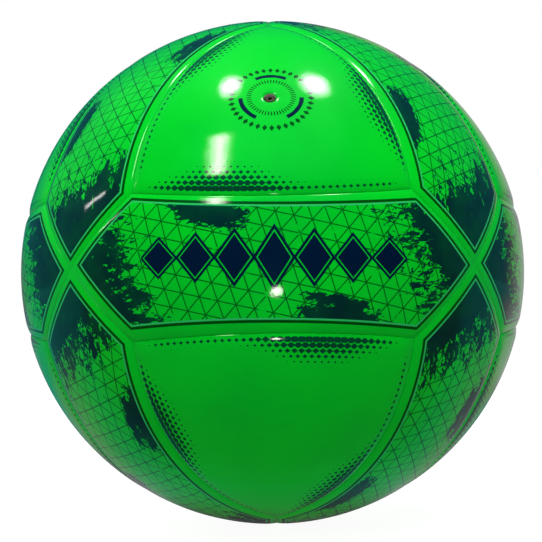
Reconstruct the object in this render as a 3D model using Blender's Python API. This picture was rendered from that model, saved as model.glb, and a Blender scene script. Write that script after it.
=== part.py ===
"""A futsal ball 62 cm round, built as it comes apart on a bench: twenty moulded skins, each turned down
round its own foam pad, bonded on a fabric lining over a valved bladder.

The panels follow an octahedron. A long six-sided panel lies along each of its 12 edges and a bulged
triangle on each of its 8 faces, so four long panels cross at each of its 6 corners. The origin is the ball's
centre. +Z runs through the upper crossing and -Y through the middle of the front panel; the valve is in
the middle of the triangle above the front one.

Every layer is drawn on the same net of directions from the centre, so the flat facets of one layer lie
parallel to those of the next and the clearance between them stays even.
"""

import math
from collections import namedtuple

import bmesh
import bpy
from mathutils import Matrix, Quaternion, Vector
from mathutils.geometry import normal

MM = 0.001

# ---- Driving dimensions, in metres ----
CIRCUMFERENCE = 0.620
FIT = 0.3 * MM  # clearance between pieces that touch or are bonded

SKIN = 1.6 * MM  # a panel's skin at its crown
SKIRT = 0.8 * MM  # the skin's edge, turned down into the seam
SEAM_DEPTH = 1.0 * MM  # how far the skin's lip lies below the crown
SEAM_SHOULDER = 4.0 * MM  # width over which the crown rolls down to the lip
SHOULDER_BREAK = 1.4 * MM  # where in that width the roll steepens, from the seam
SHOULDER_DROP = 0.4 * MM  # how far the crown has come down there

PAD = 3.0 * MM  # foam under each skin
LINING = 1.2 * MM  # laminated fabric
BLADDER = 1.0 * MM  # butyl rubber

VALVE_EYE = 2.1 * MM  # radius of the hole in the skin
VALVE_RECESS = 0.7 * MM  # from the crown down to the plug's nose
NOSE_R = 1.7 * MM  # the part of the plug that shows in the eye
HEAD_R = 4.5 * MM
HEAD = 1.8 * MM  # the plug's head, under the skin
STEM_R = 3.0 * MM
STEM = 14.0 * MM
BULGE_R = 3.7 * MM  # ring on the stem that keeps the plug in its housing
BULGE_DEPTH = 7.0 * MM  # from the head's underside to the ring
BULGE = 2.0 * MM  # the ring's length
NEEDLE_R = 0.9 * MM  # channel for the inflating needle
NEEDLE_SEAL = 4.5 * MM  # rubber left under the blind channel, which seals behind the needle
COLLAR_R = 6.5 * MM  # the housing where it passes the bladder and the lining
FLANGE_R = 14.0 * MM
FLANGE = 1.5 * MM  # disc bonded inside the bladder
HOUSING_WALL = 2.0 * MM
AIR_HOLE_R = 1.2 * MM  # at the housing's inner end

# ---- Panel layout, in degrees of arc seen from the ball's centre ----
SHORT_SEAM = 21.1  # from a four-panel crossing to a corner of a triangle
LONG_SEAM_MIDDLE = 13.25  # from a long panel's centre to the middle of its long seam

# ---- Facets ----
LONG_STEPS = 6  # along a long seam
SHORT_STEPS = 2  # along a short seam
CROWN_STEPS = 4  # across a long panel's crown
INNER_STEPS = 3  # across a long panel on every hidden layer
TURNED_STEPS = 24  # round a turned piece
EQUAL = 1e-4  # share of the radius within which two diagonals count as equal

# ---- Radii of the layers, from the outside in ----
BALL_R = CIRCUMFERENCE / (2 * math.pi)
SKIN_IN = BALL_R - SKIN
PAD_OUT = SKIN_IN - FIT
PAD_IN = PAD_OUT - PAD
LINING_OUT = PAD_IN - FIT
LINING_IN = LINING_OUT - LINING
BLADDER_OUT = LINING_IN - FIT
BLADDER_IN = BLADDER_OUT - BLADDER

# ---- Directions ----
UP = Vector((0, 0, 1))
FRONT = Vector((0, -1, 0))
FRONT_RIGHT = (Vector((1, 0, 0)) + FRONT).normalized()
FRONT_LEFT = (Vector((-1, 0, 0)) + FRONT).normalized()
VALVE_AXIS = (UP + FRONT_RIGHT + FRONT_LEFT).normalized()

# One side of a panel: the circle at `angle` round `axis` on the unit sphere. The panel lies outside that circle.
Side = namedtuple("Side", "axis angle")
# A flat net of directions: its points, its faces, and the indices of its outline, all anticlockwise from outside.
Net = namedtuple("Net", "points faces rim")


# ---------------------------------------------------------------- seams

def long_seam():
    """The upper long side of the front panel, through its middle and its two corners with the panel above."""
    middle = Quaternion((-1, 0, 0), math.radians(LONG_SEAM_MIDDLE)) @ FRONT
    right = FRONT_RIGHT.slerp(VALVE_AXIS, math.radians(SHORT_SEAM) / FRONT_RIGHT.angle(VALVE_AXIS))
    left = Vector((-right.x, right.y, right.z))
    axis = (right - middle).cross(left - middle).normalized()
    return Side(axis, axis.angle(middle))


def short_seam(crossing, face_middle):
    """The side that runs from a crossing towards the middle of a triangle, on the front panel."""
    axis = crossing.cross(face_middle).normalized()
    return Side(-axis if axis.dot(FRONT) > 0 else axis, math.pi / 2)


def mirrored(side):
    """The same side of the front panel's lower half."""
    return Side(Vector((side.axis.x, side.axis.y, -side.axis.z)), side.angle)


def beyond(side):
    """The same seam as the panel across it sees it."""
    return Side(-side.axis, math.pi - side.angle)


def turned(side, turn):
    return Side(turn @ side.axis, side.angle)


def moved_in(side, inset):
    """The side drawn back from its seam by a width on the ball's surface."""
    return Side(side.axis, side.angle + inset / BALL_R)


def crossing_of(first, second, inward):
    """Where two sides' circles meet, on the panel's part of the unit sphere."""
    lean = first.axis.dot(second.axis)
    a, b = math.cos(first.angle), math.cos(second.angle)
    foot = (first.axis * (a - lean * b) + second.axis * (b - lean * a)) / (1 - lean * lean)
    rise = first.axis.cross(second.axis).normalized() * math.sqrt(1 - foot.length_squared)
    return max(foot + rise, foot - rise, key=inward.dot)


def arc_of(side, start, end):
    """The arc of a side's circle between two of its points, as a function of the share of its length."""
    foot = side.axis * start.dot(side.axis)
    from_foot, to_foot = start - foot, end - foot
    way = math.copysign(1, side.axis.dot(from_foot.cross(to_foot)))
    angle = from_foot.angle(to_foot) * way
    return lambda share: Quaternion(side.axis, angle * share) @ start


def arcs_of(sides, inward, inset):
    """The arcs round a panel's outline, drawn back from the seams by inset."""
    drawn = [moved_in(side, inset) for side in sides]
    corners = [crossing_of(drawn[i - 1], drawn[i], inward) for i in range(len(drawn))]
    return [arc_of(side, corners[i], corners[(i + 1) % len(corners)]) for i, side in enumerate(drawn)]


# ---------------------------------------------------------------- the two kinds of panel

def long_sides():
    """The front panel's six sides, anticlockwise from its right tip."""
    upper = long_seam()
    right, left = short_seam(FRONT_RIGHT, VALVE_AXIS), short_seam(FRONT_LEFT, VALVE_AXIS)
    return [right, upper, left, mirrored(left), mirrored(upper), mirrored(right)]


def triangle_sides():
    """The three sides of the triangle above the front panel, anticlockwise from its lower left corner."""
    below = beyond(long_seam())
    third = 2 * math.pi / 3
    return [turned(below, Quaternion(VALVE_AXIS, third * i)) for i in range(3)]


def long_rim(inset):
    """The long panel's outline as points, anticlockwise from its right tip."""
    steps = [SHORT_STEPS, LONG_STEPS, SHORT_STEPS] * 2
    arcs = arcs_of(long_sides(), FRONT, inset)
    return [arc(i / n) for arc, n in zip(arcs, steps) for i in range(n)]


def triangle_rim(inset):
    """The triangle's outline as points."""
    return [arc(i / LONG_STEPS) for arc in arcs_of(triangle_sides(), VALVE_AXIS, inset) for i in range(LONG_STEPS)]


def halves(points, quad):
    """A four-sided face as two triangles, cut along its shorter diagonal. Panels that mirror themselves have
    faces whose diagonals are equal, and there the first is taken on every layer."""
    a, b, c, d = quad
    first = (points[a] - points[c]).length
    second = (points[b] - points[d]).length
    if first < second + EQUAL:
        return [(a, b, c), (a, c, d)]
    return [(a, b, d), (b, c, d)]


def long_net(inset, across):
    """The long panel as rows of points from seam to seam, between its right tip and its left one."""
    rim = long_rim(inset)
    half = len(rim) // 2
    rows = [[rim[-i].slerp(rim[i], j / across) for j in range(across + 1)] for i in range(1, half)]
    points = [rim[0]] + [point for row in rows for point in row] + [rim[half]]
    width, tip = across + 1, len(points) - 1

    def at(row, column):
        return 1 + row * width + column

    faces = [(0, at(0, j + 1), at(0, j)) for j in range(across)]
    for i in range(len(rows) - 1):
        for j in range(across):
            faces += halves(points, (at(i, j), at(i, j + 1), at(i + 1, j + 1), at(i + 1, j)))
    last = len(rows) - 1
    faces += [(at(last, j), at(last, j + 1), tip) for j in range(across)]
    upper = [at(i, across) for i in range(len(rows))]
    lower = [at(i, 0) for i in reversed(range(len(rows)))]
    return Net(points, faces, [0, *upper, tip, *lower])


def triangle_net(inset, _across):
    """The triangle as rows of points that grow from its first corner to the side across from it."""
    n = LONG_STEPS
    arcs = arcs_of(triangle_sides(), VALVE_AXIS, inset)
    points = [inside_triangle(arcs, n - i, i - j, j) for i in range(n + 1) for j in range(i + 1)]

    def at(row, column):
        return row * (row + 1) // 2 + column

    faces = [(at(i, j), at(i + 1, j), at(i + 1, j + 1)) for i in range(n) for j in range(i + 1)]
    faces += [(at(i, j), at(i + 1, j + 1), at(i, j + 1)) for i in range(n) for j in range(i)]
    rim = [at(i, 0) for i in range(n)] + [at(n, j) for j in range(n)] + [at(i, i) for i in range(n, 0, -1)]
    return Net(points, faces, rim)


def inside_triangle(arcs, a, b, c):
    """The point with these weights for the three corners. Each weight's corner is joined to the arc across from
    it, and the three joins are blended so that the net's outer points lie on the arcs."""
    if 0 in (a, b, c):
        k = (a, b, c).index(0) if (a, b, c).count(0) == 1 else (a, b, c).index(max(a, b, c))
        weights = (a, b, c)
        if weights.count(0) == 2:
            return arcs[k](0)
        start, end = weights[(k + 1) % 3], weights[(k + 2) % 3]
        return arcs[(k + 1) % 3](end / (start + end))
    total = a + b + c
    joined = Vector()
    for k, (own, after, before) in enumerate(((a, b, c), (b, c, a), (c, a, b))):
        share = own / total
        across = arcs[(k + 1) % 3](before / (after + before))
        joined += (arcs[k](0) * share + across * (1 - share)) * (after * before)
    return joined.normalized()


# ---------------------------------------------------------------- meshes

def add_net(bm, net, radius, turn=None, inwards=False):
    """Adds a net at a radius and returns its outline's vertices."""
    turn = turn or Quaternion()
    verts = [bm.verts.new((turn @ point) * radius) for point in net.points]
    for face in net.faces:
        bm.faces.new([verts[i] for i in (reversed(face) if inwards else face)])
    return [verts[i] for i in net.rim]


def add_band(bm, upper, lower):
    """Joins two outlines of as many vertices, the second one outside or below the first."""
    for i in range(len(upper)):
        bm.faces.new((upper[i - 1], lower[i - 1], lower[i], upper[i]))


def finished(bm, name):
    mesh = bpy.data.meshes.new(name)
    bm.to_mesh(mesh)
    bm.free()
    mesh.shade_smooth()
    mesh.set_sharp_from_angle(angle=math.radians(35))
    return mesh


def lofted(name, net_of, rim_of, crown, rings, base):
    """A closed panel piece: its crown net, rings of (inset, radius) round its edge, and its base net."""
    bm = bmesh.new()
    inset, radius, across = crown
    previous = add_net(bm, net_of(inset, across), radius)
    for inset, radius in rings:
        ring = [bm.verts.new(point * radius) for point in rim_of(inset)]
        add_band(bm, previous, ring)
        previous = ring
    inset, radius, across = base
    add_band(bm, previous, add_net(bm, net_of(inset, across), radius, inwards=True))
    return finished(bm, name)


def skin_mesh(name, net_of, rim_of):
    """The skin: a pillowed crown, a rolled shoulder, a lip at the seam, and the skirt that holds the pad."""
    lip = BALL_R - SEAM_DEPTH
    outer, inner = FIT / 2, FIT / 2 + SKIRT
    rings = [(SHOULDER_BREAK, BALL_R - SHOULDER_DROP), (outer, lip), (outer, PAD_IN), (inner, PAD_IN)]
    crown = (SEAM_SHOULDER, BALL_R, CROWN_STEPS)
    return lofted(name, net_of, rim_of, crown, rings, (inner, SKIN_IN, INNER_STEPS))


def pad_mesh(name, net_of, rim_of):
    """The foam pad, which fills the skin's tray down to the skirt's edge."""
    edge = FIT / 2 + SKIRT + FIT
    return lofted(name, net_of, rim_of, (edge, PAD_OUT, INNER_STEPS), [], (edge, PAD_IN, INNER_STEPS))


def sphere_mesh(name, outer, inner):
    """A hollow sphere on the panels' own net. Its valve hole is cut afterwards."""
    bm = bmesh.new()
    for net, turns in ((long_net(0, INNER_STEPS), LONG_TURNS), (triangle_net(0, None), TRIANGLE_TURNS)):
        for turn in turns.values():
            add_net(bm, net, outer, turn)
            add_net(bm, net, inner, turn, inwards=True)
    bmesh.ops.remove_doubles(bm, verts=bm.verts, dist=0.1 * FIT)
    return finished(bm, name)


def turned_mesh(name, profile):
    """A closed outline of (radius, height) points turned about Z, from the top of its outer side down."""
    bm = bmesh.new()
    verts = [bm.verts.new((radius, 0, height)) for radius, height in profile]
    edges = [bm.edges.new((verts[i - 1], verts[i])) for i in range(len(verts))]
    bmesh.ops.spin(bm, geom=verts + edges, axis=UP, cent=(0, 0, 0), angle=2 * math.pi, steps=TURNED_STEPS)
    bmesh.ops.remove_doubles(bm, verts=bm.verts, dist=0.01 * FIT)
    bmesh.ops.dissolve_degenerate(bm, edges=bm.edges, dist=0.01 * FIT)
    bmesh.ops.recalc_face_normals(bm, faces=bm.faces)
    return finished(bm, name)


# ---------------------------------------------------------------- the twenty places

def places():
    """How the front panel and the panel above it turn to each of their places, by name."""
    quarters = [Quaternion(UP, math.pi / 2 * i) for i in range(4)]
    over = Quaternion((0, 1, 0), math.pi)
    to_upper_right = Quaternion(VALVE_AXIS, 2 * math.pi / 3)
    long_turns = dict(zip(("front", "right", "back", "left"), quarters))
    triangle_turns = {}
    upper = ("upper_front_right", "upper_back_right", "upper_back_left", "upper_front_left")
    lower = ("lower_front_left", "lower_back_left", "lower_back_right", "lower_front_right")
    for above, below, quarter in zip(upper, lower, quarters):
        long_turns[above] = quarter @ to_upper_right
        long_turns[below] = over @ long_turns[above]
    for above, below, quarter in zip(
        ("upper_front", "upper_right", "upper_back", "upper_left"),
        ("lower_front", "lower_left", "lower_back", "lower_right"),
        quarters,
    ):
        triangle_turns[above] = quarter
        triangle_turns[below] = over @ quarter
    return long_turns, triangle_turns


LONG_TURNS, TRIANGLE_TURNS = places()


# ---------------------------------------------------------------- objects

def material(name, colour, roughness, coat=0.0):
    made = bpy.data.materials.new(name)
    made.use_nodes = True
    made.diffuse_color = (*colour, 1)
    shader = made.node_tree.nodes["Principled BSDF"]
    shader.inputs["Base Color"].default_value = (*colour, 1)
    shader.inputs["Roughness"].default_value = roughness
    shader.inputs["Metallic"].default_value = 0.0
    shader.inputs["Coat Weight"].default_value = coat
    return made


def added(name, mesh, parent, turn=None):
    obj = bpy.data.objects.new(name, mesh)
    bpy.context.scene.collection.objects.link(obj)
    obj.parent = parent
    obj.rotation_mode = "QUATERNION"
    obj.rotation_quaternion = turn or Quaternion()
    return obj


def empty(name, parent=None, turn=None):
    return added(name, None, parent, turn)


def bored(obj, radius, low, high, parent):
    """Cuts a round hole along the valve's axis, between two heights, out of an object."""
    bm = bmesh.new()
    depth = high - low
    middle = Matrix.Translation((0, 0, low + depth / 2))
    bmesh.ops.create_cone(
        bm, cap_ends=True, segments=TURNED_STEPS, radius1=radius, radius2=radius, depth=depth, matrix=middle
    )
    cutter = added(f"cut_{obj.name}", finished(bm, f"cut_{obj.name}"), parent)
    cutter.hide_render = True
    cutter.display_type = "WIRE"
    hole = obj.modifiers.new("valve hole", "BOOLEAN")
    hole.operation = "DIFFERENCE"
    hole.solver = "EXACT"
    hole.object = cutter


def cap_height(radius, distance):
    """Height on a sphere's axis of the circle that lies this far from the axis."""
    return math.sqrt(radius * radius - distance * distance)


def facet_share(net):
    """The share of the radius that the net's facets sink to, so that a turned piece stays clear of them."""
    return min(normal([net.points[i] for i in face]).dot(net.points[face[0]]) for face in net.faces)


INNER_SHARE = facet_share(triangle_net(0, None))


def plug_mesh(head_top):
    """The valve's rubber plug: nose, head, stem with its keeping ring, and the needle's blind channel."""
    nose_top = BALL_R - VALVE_RECESS
    head_low = head_top - HEAD
    ring_top = head_low - BULGE_DEPTH
    ring_low = ring_top - BULGE
    swell = BULGE_R - STEM_R
    stem_low = head_low - STEM
    profile = [
        (NOSE_R, nose_top),
        (NOSE_R, head_top),
        (HEAD_R, head_top),
        (HEAD_R, head_low),
        (STEM_R, head_low),
        (STEM_R, ring_top),
        (BULGE_R, ring_top - swell),
        (BULGE_R, ring_low + swell),
        (STEM_R, ring_low),
        (STEM_R, stem_low),
        (0, stem_low),
        (0, stem_low + NEEDLE_SEAL),
        (NEEDLE_R, stem_low + NEEDLE_SEAL),
        (NEEDLE_R, nose_top),
    ]
    return turned_mesh("valve_plug", profile)


def housing_mesh(head_low):
    """The valve's housing: a collar under the plug's head, a dished flange inside the bladder, and a tube with
    a groove for the plug's ring."""
    seat = head_low - FIT
    bore = STEM_R + FIT
    ring_top = head_low - BULGE_DEPTH + FIT
    ring_low = head_low - BULGE_DEPTH - BULGE - FIT
    swell = BULGE_R - STEM_R
    floor_top = head_low - STEM - FIT
    tube_r = BULGE_R + FIT + HOUSING_WALL
    dish_out = BLADDER_IN * INNER_SHARE - FIT
    dish_in = dish_out - FLANGE
    arc = [COLLAR_R + (FLANGE_R - COLLAR_R) * i / 3 for i in range(4)]
    profile = [
        (COLLAR_R, seat),
        *[(r, cap_height(dish_out, r)) for r in arc],
        *[(r, cap_height(dish_in, r)) for r in reversed(arc)],
        (tube_r, cap_height(dish_in, COLLAR_R) - HOUSING_WALL / 2),
        (tube_r, floor_top - HOUSING_WALL),
        (AIR_HOLE_R, floor_top - HOUSING_WALL),
        (AIR_HOLE_R, floor_top),
        (bore, floor_top),
        (bore, ring_low),
        (bore + swell, ring_low + swell),
        (bore + swell, ring_top - swell),
        (bore, ring_top),
        (bore, seat),
    ]
    return turned_mesh("valve_housing", profile)


def clear_scene():
    for obj in list(bpy.data.objects):
        bpy.data.objects.remove(obj)


def build():
    clear_scene()
    ball = empty("ball")
    valve_line = empty("valve_line", ball, UP.rotation_difference(VALVE_AXIS))

    skin_green = material("skin_green", (0.0, 0.62, 0.03), 0.22, coat=1.0)
    pad_foam = material("pad_foam", (0.86, 0.85, 0.80), 0.95)
    lining_fabric = material("lining_fabric", (0.80, 0.80, 0.76), 0.90)
    butyl = material("butyl", (0.02, 0.02, 0.02), 0.65)
    valve_rubber = material("valve_rubber", (0.24, 0.15, 0.13), 0.60)

    kinds = (
        ("long_panel", long_net, long_rim, LONG_TURNS),
        ("triangle_panel", triangle_net, triangle_rim, TRIANGLE_TURNS),
    )
    for kind, net_of, rim_of, turns in kinds:
        skin = skin_mesh(f"{kind}_skin", net_of, rim_of)
        pad = pad_mesh(f"{kind}_pad", net_of, rim_of)
        skin.materials.append(skin_green)
        pad.materials.append(pad_foam)
        for place, turn in turns.items():
            added(f"{kind}_{place}", skin, ball, turn)
            added(f"foam_{kind}_{place}", pad, ball, turn)

    lining = added("lining", sphere_mesh("lining", LINING_OUT, LINING_IN), ball)
    lining.data.materials.append(lining_fabric)
    bladder = added("bladder", sphere_mesh("bladder", BLADDER_OUT, BLADDER_IN), ball)
    bladder.data.materials.append(butyl)

    head_top = cap_height(SKIN_IN * INNER_SHARE, HEAD_R) - FIT
    plug = added("valve_plug", plug_mesh(head_top), valve_line)
    plug.data.materials.append(valve_rubber)
    housing = added("valve_housing", housing_mesh(head_top - HEAD), valve_line)
    housing.data.materials.append(butyl)

    passage = COLLAR_R + FIT
    deep, clear = BLADDER_IN - FLANGE, BALL_R + SKIN
    objects = bpy.data.objects
    bored(objects["triangle_panel_upper_front"], VALVE_EYE, PAD_IN, clear, valve_line)
    bored(objects["foam_triangle_panel_upper_front"], passage, deep, clear, valve_line)
    bored(lining, passage, deep, clear, valve_line)
    bored(bladder, passage, deep, clear, valve_line)


build()
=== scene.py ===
"""The looks of a futsal ball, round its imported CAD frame: glossy printed skins with rolled seams over their
foam pads, a wound lining, a butyl bladder and its valve.

The frame's origin is the ball's centre, +Z runs through the upper four-panel crossing and -Y through the
middle of the front panel. A panel is drawn once, as the front long panel or as the valve triangle above it,
and turned to its place. Its print is laid out by formula from the same seams: every vertex of a skin keeps
its direction in that first place as print_place, from which the materials work out how far the seams are.
"""

import math
import random
from collections import namedtuple

import bmesh
import bpy
from mathutils import Matrix, Quaternion, Vector, noise


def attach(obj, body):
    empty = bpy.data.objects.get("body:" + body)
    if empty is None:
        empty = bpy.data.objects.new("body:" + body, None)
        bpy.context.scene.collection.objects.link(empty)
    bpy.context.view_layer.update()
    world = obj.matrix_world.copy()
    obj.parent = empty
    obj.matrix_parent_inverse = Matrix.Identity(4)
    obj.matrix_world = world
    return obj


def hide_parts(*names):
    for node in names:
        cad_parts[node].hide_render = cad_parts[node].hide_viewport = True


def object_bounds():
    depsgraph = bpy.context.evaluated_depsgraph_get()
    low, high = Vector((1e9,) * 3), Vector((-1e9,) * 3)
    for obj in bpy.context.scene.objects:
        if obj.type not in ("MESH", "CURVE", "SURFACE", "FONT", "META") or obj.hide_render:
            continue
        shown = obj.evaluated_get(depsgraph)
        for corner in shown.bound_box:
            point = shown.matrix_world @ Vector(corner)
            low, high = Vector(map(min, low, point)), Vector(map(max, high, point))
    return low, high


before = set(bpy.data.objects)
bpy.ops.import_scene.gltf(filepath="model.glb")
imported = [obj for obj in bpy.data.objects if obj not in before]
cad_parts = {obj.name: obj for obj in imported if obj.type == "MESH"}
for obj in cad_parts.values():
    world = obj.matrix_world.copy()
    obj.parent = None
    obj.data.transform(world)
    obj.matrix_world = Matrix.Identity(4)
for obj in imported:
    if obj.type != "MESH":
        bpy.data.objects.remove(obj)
CAD_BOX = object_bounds()

MM = 0.001

# ---- The part's own sizes, in metres ----
BALL_R = max(CAD_BOX[1])
FIT = 0.3 * MM
SKIN = 1.6 * MM
SKIRT = 0.8 * MM
PAD = 3.0 * MM
LINING = 1.2 * MM
BLADDER = 1.0 * MM

SKIN_IN = BALL_R - SKIN
PAD_OUT = SKIN_IN - FIT
PAD_IN = PAD_OUT - PAD
LINING_OUT = PAD_IN - FIT
LINING_IN = LINING_OUT - LINING
BLADDER_OUT = LINING_IN - FIT
BLADDER_IN = BLADDER_OUT - BLADDER

# ---- How a skin comes down to its seams: (width of the roll, drop over it), from the seam inwards ----
LIP_ROLL = (0.7 * MM, 0.28 * MM)
SHOULDER = (4.8 * MM, 0.70 * MM)
PILLOW = (16.0 * MM, 0.12 * MM)
EYE_ROLL = (0.5 * MM, 0.30 * MM)
EYE_DISH = (2.2 * MM, 0.35 * MM)
SEAM_GAP = 0.001 * MM  # from a lip to the middle of its seam
CORNER_ROUND = 0.5 * MM  # how far two shoulders blend where they meet at a corner
CROSSING_FLAT = (46.0 * MM, 0.72)  # how far from a four-panel crossing the seams are shallower, and how much
RIPPLE = (14.0 * MM, 0.02 * MM)  # the moulding's unevenness: its length and its height
LIP_ANGLES = (0, 18, 36, 54, 72, 90)  # degrees round the lip's roll at which it has a ring of points
SHOULDER_INSETS = [inset * MM for inset in (1.1, 1.6, 2.2, 2.9, 3.8, 4.9, 6.4)]  # and the rings behind it
SHARP_ANGLE = math.radians(50)  # a corner sharper than this isn't shaded smooth

# ---- Panel layout, in degrees of arc ----
SHORT_SEAM = 21.1
LONG_SEAM_MIDDLE = 13.25

UP = Vector((0, 0, 1))
RIGHT = Vector((1, 0, 0))
FRONT = Vector((0, -1, 0))
FRONT_RIGHT = (RIGHT + FRONT).normalized()
FRONT_LEFT = (FRONT - RIGHT).normalized()
VALVE_AXIS = (UP + FRONT_RIGHT + FRONT_LEFT).normalized()

# ---- The valve, placed by its packed plug: radii, and lengths along its line ----
plug_heights = [vert.co.dot(VALVE_AXIS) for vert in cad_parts["valve_plug"].data.vertices]
VALVE_LOW, VALVE_TOP = min(plug_heights), max(plug_heights)
VALVE_EYE = 2.1 * MM  # the hole in the skin
NOSE_R = 1.7 * MM
NOSE_ROUND = 0.45 * MM
HEAD_R = 4.5 * MM
HEAD = 1.8 * MM
STEM_R = 3.0 * MM
STEM = 14.0 * MM
BULGE_R = 3.7 * MM
BULGE_DEPTH = 7.0 * MM
BULGE = 2.0 * MM
NEEDLE_R = 0.9 * MM
CHANNEL_R, MOUTH_R = NEEDLE_R * 0.7, NEEDLE_R * 0.8  # the rubber closes in where no needle is
NEEDLE_SEAL = 4.5 * MM
COLLAR_R = 6.5 * MM
FLANGE_R = 14.0 * MM
FLANGE = 1.5 * MM
FLANGE_STEPS = 5
HOUSING_WALL = 2.0 * MM
AIR_HOLE_R = 1.2 * MM
PLUG_SOFTENING, HOUSING_SOFTENING = 0.25 * MM, 0.4 * MM  # how far their corners are rounded

# ---- The print, in millimetres on the ball: along a panel from its middle, and across it ----
R_MM = BALL_R / MM
PRINT_STRAY = math.radians(0.35)  # how far out of true a panel's print may sit
FRONT_PRINT = Vector((0.4, -0.9, -0.35))  # how the front print sits, in degrees about each axis
EDGE_BLUR = 0.12

# The lines round a long panel's print, from its long seams, and where the artwork inside them begins
PIN_INSET, PIN_WIDTH = 3.5, 1.0
PALE_INSET, PALE_WIDTH = 4.4, 0.45
FIELD_INSET = 4.7
SHORT_NEARER = 0.8  # how much nearer the print comes to the short seams

# Its three-way grid, and the noise that wears the grid's lines away
GRID_ANGLES = [math.radians(a) for a in (12, 72, 132)]
GRID_PITCH, GRID_LINE = 5.4, 0.42
WEAR_SIZE, WEAR = 7.0, (0.33, 0.39)

# Its dark ends: where they begin and where they are whole, how far they lean, and the patches between them
ENDS, FRONT_ENDS = (22.5, 71.0), (26.5, 75.5)
ENDS_LEAN = 0.4
PATCH_AT, PATCH_SIZE, PATCH_LEAN, PATCH_SHARE = (24, 19), (22.0, 11.0), 0.5, 0.9
# How they break up: along and across the slanted strokes, the noise that tears them, and shards
STROKES = ((0.5, 0.3), (1.15, 0.25))
TEAR_SIZE, TEAR_SHARE = 5.0, 0.36
SHARDS = ((1.6, 0.33), (0.6, 0.31))  # sizes and shares
SHARD_BLUR = 0.03
TONE_SIZE = 16.0  # of the clouds in the dark's colour

# The front panel's row of lozenges, whose middle one is tallest
LOZENGE_PITCH, LOZENGE_HALF_WIDTH = 13.0, 7.0
LOZENGE_HALF_HEIGHT, LOZENGE_SHRINK = 11.0, 1.3
LOZENGE_LIFT, LOZENGES_END = 1.5, 45.5
LOZENGE_LINE, LOZENGE_LINE_WIDTH = 0.2, 0.06  # as shares of the way from an edge to the middle

# The triangles' strips of lozenges: how far in they begin, a row's height and the pitch along it
STRIP_INSET, ROW, PITCH = 1.2, 1.9, 2.4
STRIP_HEIGHT, STRIP_SWELL = 3.4, 8.0
SWELL_AT, SWELL_REACH = 16.0, (30.0, 4.0)
STRIP_ENDS = (47.0, 38.0)
STRIP_LOZENGE = 0.9  # a lozenge's size at the seam, as a share of its place
STRIP_BLUR = 0.1

# The rings round the valve: how many marks, the ring's radius, and a mark's size round it and outwards
Ring = namedtuple("Ring", "count radius width height")
TICKS = Ring(48, 7.6, 0.45, 1.6)  # their width is a share of their pitch
ARCS = Ring(3, 10.4, math.radians(60), 1.5)
DIAMONDS = Ring(36, 13.6, 0.85, 1.25)  # from their middles to their tips

Side = namedtuple("Side", "axis angle")
# A net of directions: its points, its faces, and its outlines as indices, all anticlockwise from outside.
Net = namedtuple("Net", "points faces rims")
Steps = namedtuple("Steps", "long short across")
FINE = Steps(long=32, short=12, across=14)
PLAIN = Steps(long=16, short=6, across=6)


# -------- seams, as the part has them

def long_seam():
    """The upper long side of the front panel, through its middle and its two corners with the panel above."""
    middle = Quaternion((-1, 0, 0), math.radians(LONG_SEAM_MIDDLE)) @ FRONT
    right = FRONT_RIGHT.slerp(VALVE_AXIS, math.radians(SHORT_SEAM) / FRONT_RIGHT.angle(VALVE_AXIS))
    left = Vector((-right.x, right.y, right.z))
    axis = (right - middle).cross(left - middle).normalized()
    return Side(axis, axis.angle(middle))


def short_seam(crossing, face_middle):
    """The side that runs from a crossing towards the middle of a triangle, on the front panel."""
    axis = crossing.cross(face_middle).normalized()
    return Side(-axis if axis.dot(FRONT) > 0 else axis, math.pi / 2)


def mirrored(side):
    """The same side of the front panel's lower half."""
    return Side(Vector((side.axis.x, side.axis.y, -side.axis.z)), side.angle)


def long_sides():
    """The front panel's six sides, anticlockwise from its right tip."""
    upper = long_seam()
    right, left = short_seam(FRONT_RIGHT, VALVE_AXIS), short_seam(FRONT_LEFT, VALVE_AXIS)
    return [right, upper, left, mirrored(left), mirrored(upper), mirrored(right)]


def triangle_sides():
    """The three sides of the triangle above the front panel, anticlockwise from its lower left corner."""
    seam = long_seam()
    third = 2 * math.pi / 3
    return [Side(Quaternion(VALVE_AXIS, third * i) @ -seam.axis, math.pi - seam.angle) for i in range(3)]


def crossing_of(first, second, inward):
    """Where two sides' circles meet, on the panel's part of the unit sphere."""
    lean = first.axis.dot(second.axis)
    a, b = math.cos(first.angle), math.cos(second.angle)
    foot = (first.axis * (a - lean * b) + second.axis * (b - lean * a)) / (1 - lean * lean)
    rise = first.axis.cross(second.axis).normalized() * math.sqrt(1 - foot.length_squared)
    return max(foot + rise, foot - rise, key=inward.dot)


def arc_of(side, start, end):
    """The arc of a side's circle between two of its points, as a function of the share of its length."""
    foot = side.axis * start.dot(side.axis)
    from_foot, to_foot = start - foot, end - foot
    way = math.copysign(1, side.axis.dot(from_foot.cross(to_foot)))
    angle = from_foot.angle(to_foot) * way
    return lambda share: Quaternion(side.axis, angle * share) @ start


def arcs_of(sides, inward, inset):
    """The arcs round a panel's outline, drawn back from the seams by inset."""
    drawn = [Side(side.axis, side.angle + inset / BALL_R) for side in sides]
    corners = [crossing_of(drawn[i - 1], drawn[i], inward) for i in range(len(drawn))]
    return [arc_of(side, corners[i], corners[(i + 1) % len(corners)]) for i, side in enumerate(drawn)]


# -------- nets of directions

def long_rim(inset, steps):
    """The long panel's outline as points, anticlockwise from its right tip."""
    counts = [steps.short, steps.long, steps.short] * 2
    arcs = arcs_of(LONG_SIDES, FRONT, inset)
    return [arc(i / n) for arc, n in zip(arcs, counts) for i in range(n)]


def triangle_rim(inset, steps):
    """The triangle's outline as points."""
    n = steps.long
    return [arc(i / n) for arc in arcs_of(TRIANGLE_SIDES, VALVE_AXIS, inset) for i in range(n)]


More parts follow.
